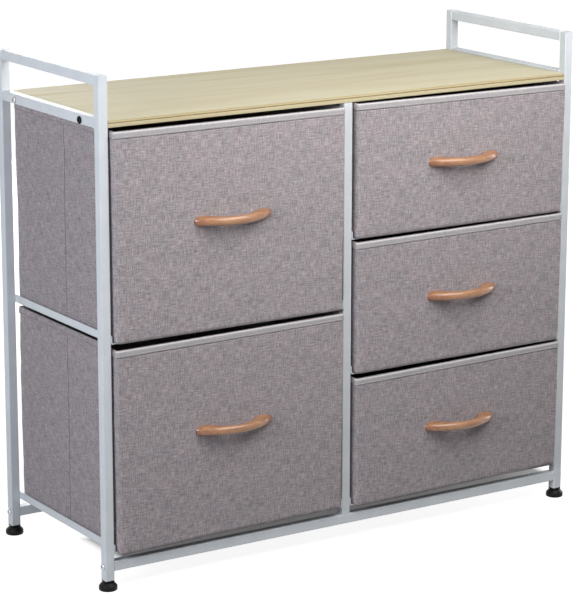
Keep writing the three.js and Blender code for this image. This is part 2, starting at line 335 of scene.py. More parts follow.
def coordinates(tree, output, scale=(1, 1, 1)):
    """Texture coordinates of the given kind, stretched by a scale on each axis."""
    source = tree.nodes.new("ShaderNodeTexCoord")
    mapping = tree.nodes.new("ShaderNodeMapping")
    feed(tree, mapping, {"Scale": scale, "Vector": source.outputs[output]})
    return mapping.outputs["Vector"]


def component(tree, vector, axis):
    node = tree.nodes.new("ShaderNodeSeparateXYZ")
    tree.links.new(vector, node.inputs[0])
    return node.outputs[axis]


def noise_value(tree, vector, scale, detail=2.0, roughness=0.5, distortion=0.0):
    texture = tree.nodes.new("ShaderNodeTexNoise")
    feed(tree, texture, {"Vector": vector, "Scale": scale, "Detail": detail})
    feed(tree, texture, {"Roughness": roughness, "Distortion": distortion})
    return texture.outputs["Fac"]


def drawn_noise(tree, output, scale, detail, roughness=0.5, distortion=0.0):
    """Noise with a scale of its own on each axis."""
    return noise_value(tree, coordinates(tree, output, scale), 1, detail, roughness, distortion)


def ramp(tree, value, stops):
    """Colours along a value: stops are (position, colour)."""
    node = tree.nodes.new("ShaderNodeValToRGB")
    elements = node.color_ramp.elements
    while len(elements) < len(stops):
        elements.new(0.5)
    for element, (position, colour) in zip(elements, stops):
        element.position = position
        element.color = colour
    tree.links.new(value, node.inputs["Fac"])
    return node.outputs["Color"]


def grey(level):
    return (level, level, level, 1.0)


def multiply(tree, first, second, share=1.0):
    """One colour darkened by another. A Mix node has its colours at sockets 6 and 7, and its result at 2."""
    node = tree.nodes.new("ShaderNodeMix")
    node.data_type = "RGBA"
    node.blend_type = "MULTIPLY"
    feed(tree, node, {0: share, 6: first, 7: second})
    return node.outputs[2]


def math_node(tree, operation, first, second=0.0):
    node = tree.nodes.new("ShaderNodeMath")
    node.operation = operation
    feed(tree, node, {0: first, 1: second})
    return node.outputs[0]


def bump(tree, height, distance, strength):
    """A normal for the shader, from a height."""
    node = tree.nodes.new("ShaderNodeBump")
    feed(tree, node, {"Height": height, "Distance": distance, "Strength": strength})
    return node.outputs["Normal"]


# Materials

def powder_coat(tree):
    """White powder coat: satin, with faint orange peel, a dust-fine tone and a few darker specks."""
    place = coordinates(tree, "Object")
    tone = noise_value(tree, place, scale=28, detail=3)
    shade = ramp(tree, tone, [(0.3, linear(208, 213, 217)), (0.7, linear(217, 221, 225))])
    speck = noise_value(tree, place, scale=480, detail=1, roughness=0.4)
    specks = ramp(tree, speck, [(0.2, linear(226, 226, 224)), (0.27, WHITE)])
    peel = noise_value(tree, place, scale=900, detail=2, roughness=0.6)
    return {
        "Base Color": multiply(tree, shade, specks),
        "Roughness": ramp(tree, peel, [(0.3, grey(0.34)), (0.7, grey(0.44))]),
        "Normal": bump(tree, peel, distance=0.00012, strength=0.5),
    }


def wave_bands(tree, direction, scale):
    node = tree.nodes.new("ShaderNodeTexWave")
    node.bands_direction = direction
    feed(tree, node, {"Vector": coordinates(tree, "UV", scale), "Scale": 1.0, "Distortion": 1.2})
    return node.outputs["Fac"]


def linen_cloth(tree, dark, middle, light):
    """Linen-look polyester: crossed threads with slubs, heathered light and dark, along its UVs."""
    across = drawn_noise(tree, "UV", (75, 620, 1), detail=3, roughness=0.6)
    upright = drawn_noise(tree, "UV", (620, 75, 1), detail=3, roughness=0.6)
    fleck = drawn_noise(tree, "UV", (700, 700, 1), detail=2, roughness=0.6)
    mottle = drawn_noise(tree, "UV", (42, 48, 1), detail=4, roughness=0.65)
    heather = math_node(tree, "ADD", math_node(tree, "ADD", across, upright), fleck)
    heather = math_node(tree, "DIVIDE", heather, 3.0)
    base = ramp(tree, heather, [(0.36, dark), (0.5, middle), (0.64, light)])
    clouds = ramp(tree, mottle, [(0.35, linear(236, 240, 240)), (0.65, linear(255, 251, 252))])
    weft = wave_bands(tree, "Y", (1, 280, 1))
    warp = wave_bands(tree, "X", (280, 1, 1))
    relief = math_node(tree, "ADD", math_node(tree, "MULTIPLY", weft, warp), heather)
    return {
        "Base Color": multiply(tree, base, clouds),
        "Roughness": 0.92,
        "Sheen Weight": 0.15,
        "Sheen Roughness": 0.5,
        "Specular IOR Level": 0.2,
        "Normal": bump(tree, relief, distance=0.0003, strength=0.5),
    }


def binding_tape(tree):
    """Pale woven tape with fine cross ribs, folded over the rim, and painted paler along its crown: mostly a
    painted highlight from the light above, partly rubbed wear.
    """
    ribs = drawn_noise(tree, "UV", (1300, 160, 1), detail=2)
    shade = ramp(tree, ribs, [(0.35, linear(201, 197, 197)), (0.65, linear(223, 219, 219))])
    drop = component(tree, coordinates(tree, "UV", (1, 1 / BINDING_HEIGHT, 1)), 1)
    height = math_node(tree, "ADD", drop, 1.0)
    # Painted highlight: the tape's crown is made paler by height, standing in for light falling on it from
    # above.
    crown = ramp(tree, height, [(0.78, linear(206, 205, 206)), (0.93, WHITE)])
    return {
        "Base Color": multiply(tree, shade, crown),
        "Roughness": 0.85,
        "Sheen Weight": 0.2,
        "Specular IOR Level": 0.3,
        "Normal": bump(tree, ribs, distance=0.0002, strength=0.6),
    }


def thread(tree, dark, light):
    """Twisted sewing thread."""
    twist = noise_value(tree, coordinates(tree, "Object"), scale=2500, detail=1)
    return {
        "Base Color": ramp(tree, twist, [(0.3, dark), (0.7, light)]),
        "Roughness": 0.6,
        "Normal": bump(tree, twist, distance=0.0001, strength=0.5),
    }


def maple_foil(tree, underside, thickness):
    """Pale maple print on a foil, wrapped over the board's nose: broad soft figure and fine grain along X.

    The nose is painted a little darker than the top, as painted shade where its rounding turns from the light,
    with a dark line of painted shade in its groove and a paler band below.
    """
    broad = drawn_noise(tree, "Object", (1.6, 17, 17), detail=3, distortion=0.5)
    fine = drawn_noise(tree, "Object", (7, 300, 300), detail=3, roughness=0.6)
    streak = drawn_noise(tree, "Object", (1.3, 52, 52), detail=2, distortion=1.0)
    figure = ramp(tree, broad, [
        (0.3, linear(204, 193, 164)),
        (0.5, linear(209, 202, 174)),
        (0.72, linear(213, 206, 179)),
    ])
    pores = ramp(tree, fine, [(0.35, linear(248, 245, 238)), (0.6, WHITE)])
    streaks = ramp(tree, streak, [(0.3, linear(240, 230, 210)), (0.42, WHITE)])
    shade = multiply(tree, multiply(tree, figure, pores), streaks, share=0.7)
    rise = math_node(tree, "SUBTRACT", component(tree, coordinates(tree, "Object"), 2), underside)
    # Painted shade: darker over the rounding and in a line in the groove, set by height up the nose.
    nose = ramp(tree, math_node(tree, "DIVIDE", rise, thickness), [
        (0.0, linear(248, 244, 236)),
        (0.52, linear(252, 247, 238)),
        (0.57, linear(178, 164, 134)),
        (0.63, linear(178, 164, 134)),
        (0.68, linear(228, 220, 204)),
        (0.86, linear(222, 213, 194)),
        (0.94, linear(192, 178, 150)),
        (0.999, WHITE),
    ])
    return {
        "Base Color": multiply(tree, shade, nose),
        "Roughness": ramp(tree, fine, [(0.3, grey(0.66)), (0.7, grey(0.58))]),
        "Specular IOR Level": 0.3,
        "Normal": bump(tree, fine, distance=0.00006, strength=0.4),
    }


def beech(tree):
    """Lacquered beech: flecked grain along the bow, redder and darker end grain at its tips, a clear coat."""
    grain = drawn_noise(tree, "Object", (22, 260, 260), detail=4, roughness=0.6, distortion=0.4)
    fleck = drawn_noise(tree, "Object", (90, 1500, 1500), detail=2)
    figure = ramp(tree, grain, [
        (0.3, linear(152, 103, 68)),
        (0.5, linear(173, 124, 87)),
        (0.7, linear(190, 143, 103)),
    ])
    flecks = ramp(tree, fleck, [(0.3, linear(232, 214, 196)), (0.48, WHITE)])
    along = math_node(tree, "ABSOLUTE", component(tree, coordinates(tree, "Normal"), 0))
    ends = ramp(tree, along, [(0.3, WHITE), (0.9, linear(192, 140, 116))])
    return {
        "Base Color": multiply(tree, multiply(tree, figure, flecks), ends),
        "Roughness": 0.34,
        "Coat Weight": 0.5,
        "Coat Roughness": 0.14,
        "Normal": bump(tree, grain, distance=0.00008, strength=0.4),
    }


def black_moulding(tree):
    """Black moulded plastic with a fine grain."""
    place = coordinates(tree, "Object")
    grain = noise_value(tree, place, scale=1400, detail=2)
    wear = noise_value(tree, place, scale=160, detail=3)
    return {
        "Base Color": ramp(tree, grain, [(0.3, linear(12, 11, 12)), (0.7, linear(19, 18, 20))]),
        "Roughness": ramp(tree, wear, [(0.3, grey(0.42)), (0.7, grey(0.56))]),
        "Specular IOR Level": 0.15,
        "Normal": bump(tree, grain, distance=0.00006, strength=0.4),
    }


def zinc_plate(tree):
    """Bright zinc plating with a cloudy lustre."""
    place = coordinates(tree, "Object")
    cloud = noise_value(tree, place, scale=420, detail=3)
    grain = noise_value(tree, place, scale=1800, detail=2)
    return {
        "Base Color": ramp(tree, cloud, [(0.3, linear(176, 178, 182)), (0.7, linear(204, 206, 209))]),
        "Roughness": ramp(tree, cloud, [(0.3, grey(0.24)), (0.7, grey(0.36))]),
        "Metallic": 1.0,
        "Normal": bump(tree, grain, distance=0.00004, strength=0.4),
    }


def nonwoven(tree):
    """Dark pressed-fibre cloth round the stiffening boards."""
    fibre = noise_value(tree, coordinates(tree, "Object"), scale=700, detail=4, roughness=0.7, distortion=0.8)
    return {
        "Base Color": ramp(tree, fibre, [(0.3, linear(62, 60, 62)), (0.7, linear(96, 93, 96))]),
        "Roughness": 0.95,
        "Normal": bump(tree, fibre, distance=0.0002, strength=0.7),
    }


board_low, board_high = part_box("top_board")
STEEL = new_material("powder_coat", powder_coat)
LINEN = new_material(
    "linen", linen_cloth, linear(120, 111, 113), linear(167, 158, 160), linear(209, 202, 205))
LINING = new_material("lining", linen_cloth, linear(96, 90, 92), linear(136, 129, 131), linear(168, 163, 166))
TAPE = new_material("binding_tape", binding_tape)
PALE_THREAD = new_material("pale_thread", thread, linear(172, 168, 168), linear(192, 188, 188))
GREY_THREAD = new_material("grey_thread", thread, linear(118, 111, 114), linear(150, 143, 146))
# Thread much darker than the linen: partly the seams' own thread, partly painted shade in the groove under the
# tape and in the side creases.
SEAM_THREAD_AND_SHADE = new_material("seam_thread_and_shade", thread, linear(62, 56, 59), linear(86, 79, 82))
MAPLE = new_material("maple_foil", maple_foil, board_low.z, board_high.z - board_low.z)
BEECH = new_material("beech", beech)
BLACK = new_material("black_moulding", black_moulding)
ZINC = new_material("zinc_plate", zinc_plate)
NONWOVEN = new_material("nonwoven", nonwoven)

SLOT_MATERIALS = {
    "white_steel": STEEL,
    "black_plastic": BLACK,
    "zinc": ZINC,
    "board_wood": MAPLE,
    "handle_wood": BEECH,
    "inner_board": NONWOVEN,
    "linen": LINEN,
}
for subpart in frame["record"]["subparts"]:
    mesh = nodes[subpart["node"]].data
    mesh.materials.clear()
    mesh.materials.append(SLOT_MATERIALS[subpart["material_slot"]])


# Fabric bins

# Upright corners in order round a bin: side in X, side in Y, and the direction in which each one starts
CORNERS = [(-1, 1, 90), (-1, -1, 180), (1, -1, 270), (1, 1, 0)]
# The stations of the upright seams: the fold down each side panel's middle
SEAM_STATIONS = [(0, False, 0.5), (2, False, 0.5)]


class Bin:
    """One drawer's measures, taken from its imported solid, and the run of stations round its walls."""

    def __init__(self, title, seed):
        self.title = title
        self.body = f"drawer_{title}"
        self.seed = seed
        low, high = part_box(f"bin_{title}")
        self.middle = (low.x + high.x) / 2
        self.floor = low.z
        self.height = high.z - low.z
        self.half_top = (high.x - low.x) / 2 - BINDING_PROUD
        self.front = low.y + BINDING_PROUD
        self.rear = high.y - BINDING_PROUD
        self.centre = (self.front + self.rear) / 2
        points = [vertex.co for vertex in nodes[f"bin_{title}"].data.vertices]
        self.half_floor = max(point.x for point in points if point.z - low.z < BIN_FLOOR / 2) - self.middle
        self.stations = self.run_of_stations()
        self.rim = [self.wall(station, self.height) for station in self.stations]
        self.travelled = [0.0]
        for here, there in zip(self.rim, self.rim[1:]):
            self.travelled.append(self.travelled[-1] + (there[0] - here[0]).length)
        self.girth = self.travelled[-1] + (self.rim[0][0] - self.rim[-1][0]).length

    def run_of_stations(self):
        """Stations round the bin: (corner, whether on its curve, share of the curve or of the next side).

        Each side has an even number of steps, so one station lies at its middle, where the side panels fold.
        """
        stations = []
        for corner in range(len(CORNERS)):
            stations += [(corner, True, step / CORNER_STEPS) for step in range(CORNER_STEPS + 1)]
            start, _ = self.wall((corner, True, 1.0), self.height)
            end, _ = self.wall(((corner + 1) % len(CORNERS), True, 0.0), self.height)
            count = 2 * round((end - start).length / CLOTH_STEP / 2)
            stations += [(corner, False, step / count) for step in range(1, count)]
        return stations

    def outline(self, station, half, front_radius):
        """Point and outward normal of a station, on the outline of a half width."""
        corner, curved, share = station
        if not curved:
            start, normal = self.outline((corner, True, 1.0), half, front_radius)
            end, _ = self.outline(((corner + 1) % len(CORNERS), True, 0.0), half, front_radius)
            return start.lerp(end, share), normal
        side, depth, first = CORNERS[corner]
        radius = front_radius if depth < 0 else BIN_CORNER
        turn = math.radians(first + 90 * share)
        normal = Vector((math.cos(turn), math.sin(turn)))
        edge = self.front if depth < 0 else self.rear
        return Vector((side * (half - radius), edge - depth * radius)) + radius * normal, normal

    def wall(self, station, height):
        """A station's point and normal at a height. The bin tapers, and its front corners soften downwards."""
        share = height / self.height
        half = self.half_floor + (self.half_top - self.half_floor) * share
        radius = BIN_FOOT_CORNER + (BIN_CORNER - BIN_FOOT_CORNER) * smoothstep(share / CORNER_FADE)
        return self.outline(station, half, radius)

    def across(self, point):
        return min(1.0, max(0.0, (point.x / self.half_top + 1) / 2))

    def rim_offset(self, point):
        left, right = RIM_OFFSETS[self.title]
        here = left + (right - left) * self.across(point)
        return here * (1 - smoothstep((point.y - self.front) / RIM_FADE))

    def hem_offset(self, point):
        here = between(HEM_OFFSETS[self.title], self.across(point))
        reach = HEM_HANG if here < 0 else HEM_TUCK
        return here * (1 - smoothstep((point.y - self.front) / reach))

    def lift(self, point, height):
        """How far a point of the wall moves up so that the rim and the front hem run as they do."""
        hem = 1 - smoothstep(height / HEM_RISE)
        rim = smoothstep(1 - (self.height - height) / HEM_RISE)
        return hem * self.hem_offset(point) + rim * self.rim_offset(point)

    def sag(self, point):
        """How far the floor hangs below its seat, between the runners and behind the front."""
        across = max(0.0, 1 - (point.x / (self.half_floor - SAG_INSET)) ** 2)
        return FLOOR_SAG * across ** SAG_FULLNESS * smoothstep((point.y - self.front) / SAG_FADE)

    def uneven(self, x, y, layer):
        """Smooth noise from -1 to 1. Each bin has its own, in layers."""
        return noise.noise(Vector((x, y, self.seed + layer)))

    def relief(self, station, point, normal, height):
        """How far the outer cloth stands out from its flat panel: waves, puckers, creases and seams."""
        _, curved, share = station
        front = normal.y < FRONT_NORMAL
        wide = self.uneven(point.x * WAVES, (point.y + height) * WAVES, 0)
        small = self.uneven(point.x * SMALL_WAVES_ALONG, (point.y + height) * SMALL_WAVES_UP, 7)
        out = (FRONT_WAVE if front else SOFT_WAVE) * wide + SMALL_WAVE * small
        if abs(normal.x) > SIDE_NORMAL:
            out -= self.side_crease(point)
        if front and curved:
            out += CORNER_SWELL * math.sin(math.pi * share)
        pucker = noise.noise(Vector((self.seed + 3, point.x, height * PUCKERS)))
        out += PUCKER * pucker * math.exp(-(self.half_top - abs(point.x)) / PUCKER_REACH)
        gather = self.uneven(point.x * GATHERS, point.y * GATHERS, 11)
        below_binding = max(0.0, self.height - BINDING_HEIGHT - height)
        out += GATHER * gather * math.exp(-below_binding / GATHER_REACH)
        out *= smoothstep(height / FOOT_FADE) * smoothstep((self.height - height) / TOP_FADE)
        from_seam = (height - (self.height - BINDING_HEIGHT - SEAM_DROP)) / SEAM_WIDTH
        return out - (SEAM_GROOVE if front else SEAM_GROOVE / 2) * math.exp(-from_seam ** 2)

    def side_crease(self, point):
        """Inward fold of a side panel, deepest along the upright crease at its middle."""
        reach = (self.rear - self.front) / 2
        from_crease = abs(point.y - self.centre)
        groove = math.exp(-((from_crease / CREASE_WIDTH) ** 2))
        return SIDE_CREASE * (1 - from_crease / reach) + CREASE_GROOVE * groove

    def along_rim(self, distance):
        """Point and outward normal at a distance round the rim."""
        low = max(index for index, travelled in enumerate(self.travelled) if travelled <= distance)
        high = (low + 1) % len(self.rim)
        end = self.travelled[high] if high else self.girth
        share = (distance - self.travelled[low]) / (end - self.travelled[low])
        here, there = self.rim[low], self.rim[high]
        return here[0].lerp(there[0], share), here[1].lerp(there[1], share).normalized()


def wall_heights(height):
    """Heights of an outer wall's rows, close together round the seam under the binding."""
    seam = height - BINDING_HEIGHT - SEAM_DROP
    lowest = seam - SEAM_ROWS / 2 * SEAM_WIDTH
    count = round(lowest / CLOTH_STEP)
    rows = [lowest * row / count for row in range(count)]
    rows += [seam + SEAM_WIDTH * step / 2 for step in range(-SEAM_ROWS, SEAM_ROWS + 1)]
    return rows + [height - TOP_ROW_DROP, height]


def floor_row(drawer, share, height, inset):
    """One ring of a bin's floor: share 1 is its outer edge."""
    row = []
    for station in drawer.stations:
        point, normal = drawer.wall(station, 0)
        edge = point - normal * inset - Vector((0, drawer.centre))
        spot = edge * share + Vector((0, drawer.centre))
        row.append((spot, height(spot), spot))
    return row


def outer_row(drawer, height):
    row = []
    for station, travelled in zip(drawer.stations, drawer.travelled):
        point, normal = drawer.wall(station, height)
        spot = point + normal * drawer.relief(station, point, normal, height)
        turned_up = HEM_ROUND / 2 if height == 0 else 0.0
        row.append((spot, height + turned_up + drawer.lift(point, height), Vector((travelled, height))))
    return row


def inner_row(drawer, height):
    row = []
    for station, travelled in zip(drawer.stations, drawer.travelled):
        point, normal = drawer.wall(station, height)
        rise = smoothstep(1 - (drawer.height - height) / HEM_RISE) * drawer.rim_offset(point)
        inward = BIN_WALL - min(0.0, drawer.relief(station, point, normal, height))
        row.append((point - normal * inward, height + rise, Vector((travelled, height))))
    return row


def wrapped_uvs(faces, corners, columns, girth, walls):
    """A pair for each corner of each face, carried on past the girth where a wall's face closes the ring."""
    uvs = []
    for face in faces:
        closes = face[0] // columns in walls and any(corner % columns == columns - 1 for corner in face)
        for corner in face:
            u, v = corners[corner]
            uvs.append((u + girth if closes and corner % columns == 0 else u, v))
    return uvs


def cloth_shell(drawer):
    """The bin's cloth: an outer skin with folds, an inner skin and a floor, closed into one body."""
    def hanging(spot):
        return drawer.hem_offset(spot) - drawer.sag(spot)

    def lying(spot):
        return BIN_FLOOR

    heights = wall_heights(drawer.height)
    count = round(drawer.height / INNER_STEP)
    depths = [BIN_FLOOR + (drawer.height - BIN_FLOOR) * (1 - step / count) for step in range(count + 1)]
    rows = [floor_row(drawer, share, hanging, HEM_ROUND if share == 1.0 else 0.0) for share in FLOOR_SHARES]
    rows += [outer_row(drawer, height) for height in heights]
    rows += [inner_row(drawer, depth) for depth in depths]
    rows += [floor_row(drawer, share, lying, BIN_WALL) for share in reversed(FLOOR_SHARES[:-1])]
    columns = len(drawer.stations)
    places = [place for row in rows for place in row]
    points = [(drawer.middle + spot.x, spot.y, drawer.floor + z) for spot, z, _ in places]
    corners = [tuple(uv) for _, _, uv in places]
    faces = capped_faces(len(rows), columns)
    walls = range(len(FLOOR_SHARES), len(FLOOR_SHARES) + len(heights) + len(depths) - 1)
    uvs = wrapped_uvs(faces, corners, columns, drawer.girth, walls)
    first_inner = (len(FLOOR_SHARES) + len(heights) - 1) * columns
    indices = [1 if min(face) >= first_inner else 0 for face in faces]
    name = f"cloth_{drawer.title}"
    piece = mesh_piece(name, points, faces, [LINEN, LINING], drawer.body, uvs, indices)
    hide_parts(f"bin_{drawer.title}")


def rim_profile():
    """Section of the binding over the rim: (how far out, height under the rim's top). It closes on itself."""
    outer = BINDING_PROUD
    inner = -BIN_WALL - BINDING_SHEET
    crown = (outer - inner) / 2
    centre = (outer + inner) / 2
    section = [
        (outer - TAPE_TUCK, -BINDING_HEIGHT),
        (outer + TAPE_ROLL, -BINDING_HEIGHT * 0.9),
        (outer, -BINDING_HEIGHT + STITCH_LIFT),
        (outer + TAPE_SWELL, -BINDING_HEIGHT * 0.6),
        (outer + TAPE_SWELL, -BINDING_HEIGHT * 0.4),
    ]
    for step in range(CROWN_STEPS + 1):
        turn = math.pi * step / CROWN_STEPS
        section.append((centre + crown * math.cos(turn), CROWN_RISE * crown * (math.sin(turn) - 1)))
    section += [(inner, -BINDING_HEIGHT * 0.5), (inner, -BINDING_HEIGHT)]
    section += [(inner + BINDING_SHEET, -BINDING_HEIGHT), (inner + BINDING_SHEET, -crown)]
    section += [(outer - BINDING_SHEET, -crown), (outer - BINDING_SHEET, -BINDING_HEIGHT)]
    return section


def binding(drawer):
    """The rim's edging, a little wavy: pale tape along the front, the bin's own cloth elsewhere."""
    section = rim_profile()
    columns = len(drawer.stations)
    points = []
    corners = []
    for offset, drop in section + section[:1]:
        hem = smoothstep(-drop / BINDING_HEIGHT)
        for (point, normal), travelled in zip(drawer.rim, drawer.travelled):
            wander = drawer.uneven(point.x * TAPE_WANDERS, point.y * TAPE_WANDERS, 21)
            crest = drawer.uneven(point.x * TAPE_CRESTS, point.y * TAPE_CRESTS, 5)
            spot = point + normal * (offset + TAPE_WANDER * wander)
            rise = TAPE_CREST * crest * (1 - hem) + TAPE_HEM_WANDER * wander * hem - TAPE_SETTLE
            z = drawer.floor + drawer.height + drop + rise + drawer.rim_offset(point)
            points.append((drawer.middle + spot.x, spot.y, z))
            corners.append((travelled, drop + offset))
    faces = grid_faces(len(section) + 1, columns)
    uvs = wrapped_uvs(faces, corners, columns, drawer.girth, range(len(section) + 1))
    fronts = [normal.y < FRONT_END_NORMAL for _, normal in drawer.rim]
    indices = [0 if fronts[face[0] % columns] else 1 for face in faces]
    name = f"binding_{drawer.title}"
    mesh_piece(name, points, faces, [TAPE, LINEN], drawer.body, uvs, indices)


def stitches(drawer):
    """A row of thread through the binding near its lower edge, outside and inside: pale along the front."""
    count = int(drawer.girth / STITCH_PITCH)
    height = drawer.floor + drawer.height - BINDING_HEIGHT + STITCH_LIFT - TAPE_SETTLE
    points = []
    faces = []
    indices = []
    for offset in (BINDING_PROUD + STITCH_PROUD, -BIN_WALL - BINDING_SHEET - STITCH_PROUD):
        for index in range(count):
            first = len(points)
            middle = drawer.girth * (index + 0.5) / count
            for along, full in STITCH_RINGS:
                spot, normal = drawer.along_rim((middle + along * STITCH_LENGTH) % drawer.girth)
                centre = spot + normal * offset
                level = height + drawer.rim_offset(spot)
                points += thread_ring(drawer, centre, normal, level, STITCH_RADIUS * full)
            added = capped_faces(len(STITCH_RINGS), STITCH_SIDES, first)
            faces += added
            indices += [0 if normal.y < FRONT_NORMAL else 1] * len(added)
    name = f"stitches_{drawer.title}"
    mesh_piece(name, points, faces, [PALE_THREAD, GREY_THREAD], drawer.body, None, indices)


def thread_ring(drawer, centre, normal, level, radius):
    """One ring of a thread that runs along the rim."""
    ring = []
    for turn in full_turn(STITCH_SIDES):
        spot = centre + normal * radius * math.cos(turn)
        ring.append((drawer.middle + spot.x, spot.y, level + radius * math.sin(turn)))
    return ring


def front_seam(drawer):
    """The line of thread that gathers the front cloth just under the tape, made dark partly as painted shade
    under the tape's edge.
    """
    level = drawer.floor + drawer.height - BINDING_HEIGHT - SEAM_DROP
    points = []
    for point, normal in drawer.rim:
        if normal.y < FRONT_END_NORMAL:
            centre = point - normal * SEAM_GROOVE / 2
            points += thread_ring(drawer, centre, normal, level + drawer.rim_offset(point), SEAM_RADIUS)
    faces = capped_faces(len(points) // STITCH_SIDES, STITCH_SIDES)
    mesh_piece(f"seam_{drawer.title}", points, faces, [SEAM_THREAD_AND_SHADE], drawer.body)


def upright_seams(drawer):
    """The thread down each side panel's fold, made dark partly as painted shade in the crease."""
    count = round((drawer.height - BINDING_HEIGHT) / CLOTH_STEP)
    points = []
    faces = []
    for station in SEAM_STATIONS:
        first = len(points)
        for step in range(count + 1):
            height = (drawer.height - BINDING_HEIGHT) * step / count
            point, normal = drawer.wall(station, height)
            along = Vector((normal.y, -normal.x))
            spot = point + normal * drawer.relief(station, point, normal, height)
            level = drawer.floor + height + drawer.lift(point, height) + HEM_ROUND / 2 * (step == 0)
            for turn in full_turn(STITCH_SIDES):
                around = spot + UPRIGHT_SEAM_RADIUS * (normal * math.cos(turn) + along * math.sin(turn))
                points.append((drawer.middle + around.x, around.y, level))
        faces += capped_faces(count + 1, STITCH_SIDES, first)
    mesh_piece(f"upright_seams_{drawer.title}", points, faces, [SEAM_THREAD_AND_SHADE], drawer.body)


# Bow handles

def bow(angle, half_span, rise):
    return Vector((half_span * math.cos(angle), -rise * max(0.0, math.sin(angle)) ** HANDLE_ARCH))


def signed_power(value, exponent):
    return math.copysign(abs(value) ** exponent, value)


def bow_handle(drawer):
    """The beech bow, smooth and round, whose ends come down on the cloth as long oval feet."""
    low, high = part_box(f"handle_{drawer.title}")
    half_length = (high.x - low.x) / 2
    rise = high.y - low.y
    half_foot_height = (high.z - low.z) / 2
    middle_x = (low.x + high.x) / 2
    middle_z = (low.z + high.z) / 2
    points = []
    for step in range(HANDLE_STEPS + 1):
        angle = math.pi * step / HANDLE_STEPS
        outer = bow(angle, half_length, rise)
        inner = bow(angle, half_length - HANDLE_FOOT, rise - HANDLE_GRIP)
        centre = (outer + inner) / 2
        reach = outer - centre
        full = math.sin(angle)
        half_height = half_foot_height + (HANDLE_GRIP_HEIGHT / 2 - half_foot_height) * full
        fullness = HANDLE_FOOT_FULLNESS + (1 - HANDLE_FOOT_FULLNESS) * full
        for turn in full_turn(HANDLE_SIDES):
            spot = centre + reach * signed_power(math.cos(turn), fullness)
            z = middle_z + half_height * signed_power(math.sin(turn), fullness)
            points.append((middle_x + spot.x, high.y + spot.y, z))
    faces = capped_faces(HANDLE_STEPS + 1, HANDLE_SIDES)
    piece = mesh_piece(f"bow_{drawer.title}", points, faces, [BEECH], drawer.body)
    sharpen(piece, HANDLE_CREASE)
    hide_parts(f"handle_{drawer.title}")
    for side, hand in ((-1, "l"), (1, "r")):
        place_x = middle_x + side * (half_length - HANDLE_FOOT / 2)
        handle_screw(drawer, hand, place_x, middle_z)


# Turned pieces: feet, fastener heads, washers

def ring_radius(radius, corners, turn):
    """Radius of a ring at a turn: round, or a polygon of so many corners."""
    if not corners:
        return radius
    sector = 2 * math.pi / corners
    return radius * math.cos(sector / 2) / math.cos(turn % sector - sector / 2)


def turned(name, rings, centre, axis, material, body):
    """A solid turned about an axis. Each ring is (radius, height, corners), with no corners where round."""
    axis = Vector(axis)
    across = axis.orthogonal().normalized()
    upright = axis.cross(across)
    points = []
    for radius, height, corners in rings:
        for turn in full_turn(HEAD_STEPS):
            reach = ring_radius(radius, corners, turn)
            spoke = across * math.cos(turn) + upright * math.sin(turn)
            points.append(Vector(centre) + axis * height + spoke * reach)
    faces = capped_faces(len(rings), HEAD_STEPS)
    piece = mesh_piece(name, points, faces, [material], body)
    sharpen(piece, HEAD_CREASE)
    return piece


def domed_head(radius, height, socket):
    """Rings of a fastener head: a low dome with a six-sided socket sunk into its crown."""
    rings = [(radius * across, height * up, 0) for across, up in SKIRT]
    for step in range(1, DOME_STEPS + 1):
        turn = math.radians(DOME_TURN * step)
        crown = radius * (DOME_FLAT + (1 - DOME_FLAT) * math.cos(turn))
        rings.append((crown, height * (DOME_FOOT + (1 - DOME_FOOT) * math.sin(turn)), 0))
    return rings + [(socket * across, height * up, corners) for across, up, corners in SOCKET]


def end_fastener(node, material, slot):
    """The head of a bolt or screw in the frame's end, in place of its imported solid."""
    low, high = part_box(node)
    side = 1 if high.x > 0 else -1
    face = (high.x if side > 0 else low.x) - side * HEAD_HEIGHT
    centre = (face, (low.y + high.y) / 2, (low.z + high.z) / 2)
    radius = (high.z - low.z) / 2
    rings = domed_head(radius, HEAD_HEIGHT, radius * HEAD_SOCKET)
    piece = turned(f"head_{node}", rings, centre, (side, 0, 0), material, "frame")
    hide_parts(node)


def handle_screw(drawer, hand, x, z):
    """Screw and washer that hold a handle's foot, on the inside of the front board."""
    _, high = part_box(f"front_board_{drawer.title}")
    washer = [
        (WASHER_RADIUS - WASHER_EASE, 0.0, 0),
        (WASHER_RADIUS, WASHER_EASE, 0),
        (WASHER_RADIUS, WASHER_SHEET - WASHER_EASE, 0),
        (WASHER_RADIUS - WASHER_EASE, WASHER_SHEET, 0),
        (HANDLE_SCREW_RADIUS * WASHER_BORE, WASHER_SHEET, 0),
    ]
    centre = (x, high.y, z)
    turned(f"washer_{drawer.title}_{hand}", washer, centre, (0, 1, 0), ZINC, drawer.body)
    socket = HANDLE_SCREW_RADIUS * HANDLE_SCREW_SOCKET
    head = domed_head(HANDLE_SCREW_RADIUS, HANDLE_SCREW_HEIGHT, socket)
    centre = (x, high.y + WASHER_SHEET, z)
    turned(f"screw_{drawer.title}_{hand}", head, centre, (0, 1, 0), ZINC, drawer.body)


def foot_pad(corner):
    """Levelling foot turned smooth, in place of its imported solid."""
    node = f"foot_{corner}"
    low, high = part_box(node)
    centre = ((low.x + high.x) / 2, (low.y + high.y) / 2, low.z)
    rings = [(radius, height, 0) for radius, height in FOOT_PROFILE]
    piece = turned(f"pad_{corner}", rings, centre, (0, 0, 1), BLACK, node)
    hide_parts(node)


# Top board and welds

